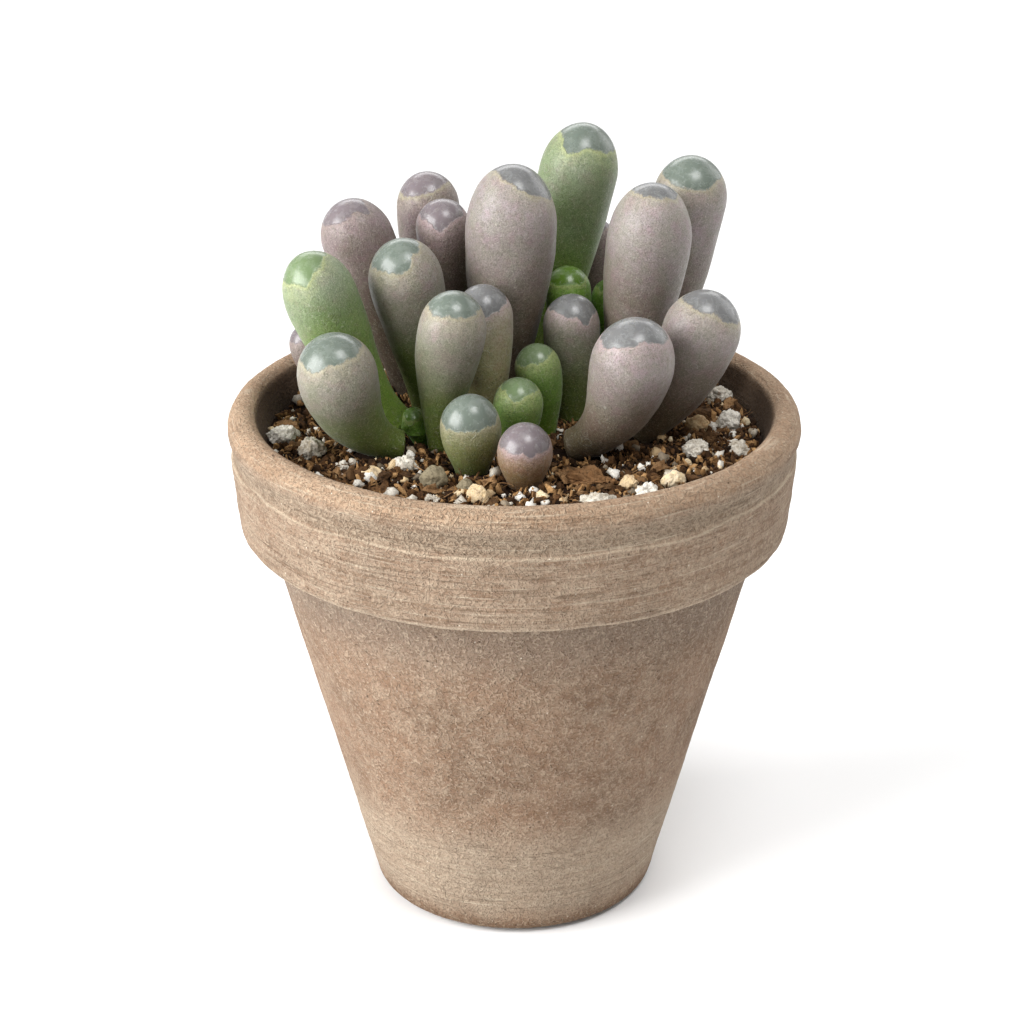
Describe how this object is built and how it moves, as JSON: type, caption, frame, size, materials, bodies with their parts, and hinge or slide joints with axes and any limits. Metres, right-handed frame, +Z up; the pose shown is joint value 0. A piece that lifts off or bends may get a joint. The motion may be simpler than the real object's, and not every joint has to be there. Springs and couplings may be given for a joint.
{
  "type": "potted baby toes",
  "caption": "Clump of club-shaped succulent leaves with domed clear window tips, growing in gritty soil in a small round clay pot with a deep collar.",
  "frame": {"origin": "middle of the pot's flat base, on the surface that it stands on", "axes": "+Z up along the pot's axis, which is the longest extent; the front of the clump, with its shortest leaves, faces -Y"},
  "size_m": [0.07, 0.07, 0.0941],
  "materials": {
    "clay": "matte",
    "soil": "matte",
    "rootstock": "matte",
    "leaf": "satin",
    "perlite": "matte",
    "pumice": "matte",
    "gravel": "matte",
    "bark": "matte"
  },
  "bodies": {
    "root": {"pot": "clay", "soil": "soil", "rootstock": "rootstock", "leaf_01": "leaf", "leaf_02": "leaf", "leaf_03": "leaf", "leaf_04": "leaf", "leaf_05": "leaf", "leaf_06": "leaf", "leaf_07": "leaf", "leaf_08": "leaf", "leaf_09": "leaf", "leaf_10": "leaf", "leaf_11": "leaf", "leaf_12": "leaf", "leaf_13": "leaf", "leaf_14": "leaf", "leaf_15": "leaf", "leaf_16": "leaf", "leaf_17": "leaf", "leaf_18": "leaf", "leaf_19": "leaf", "leaf_20": "leaf", "leaf_21": "leaf", "leaf_22": "leaf", "leaf_23": "leaf", "leaf_24": "leaf", "leaf_25": "leaf", "leaf_26": "leaf", "leaf_27": "leaf", "leaf_28": "leaf", "perlite_01": "perlite", "perlite_02": "perlite", "perlite_03": "perlite", "perlite_04": "perlite", "perlite_05": "perlite", "perlite_06": "perlite", "perlite_07": "perlite", "perlite_08": "perlite", "perlite_09": "perlite", "perlite_10": "perlite", "perlite_11": "perlite", "perlite_12": "perlite", "pumice_01": "pumice", "pumice_02": "pumice", "pumice_03": "pumice", "pumice_04": "pumice", "pumice_05": "pumice", "gravel_01": "gravel", "gravel_02": "gravel", "bark_chip_01": "bark", "bark_chip_02": "bark"}
  },
  "joints": []
}
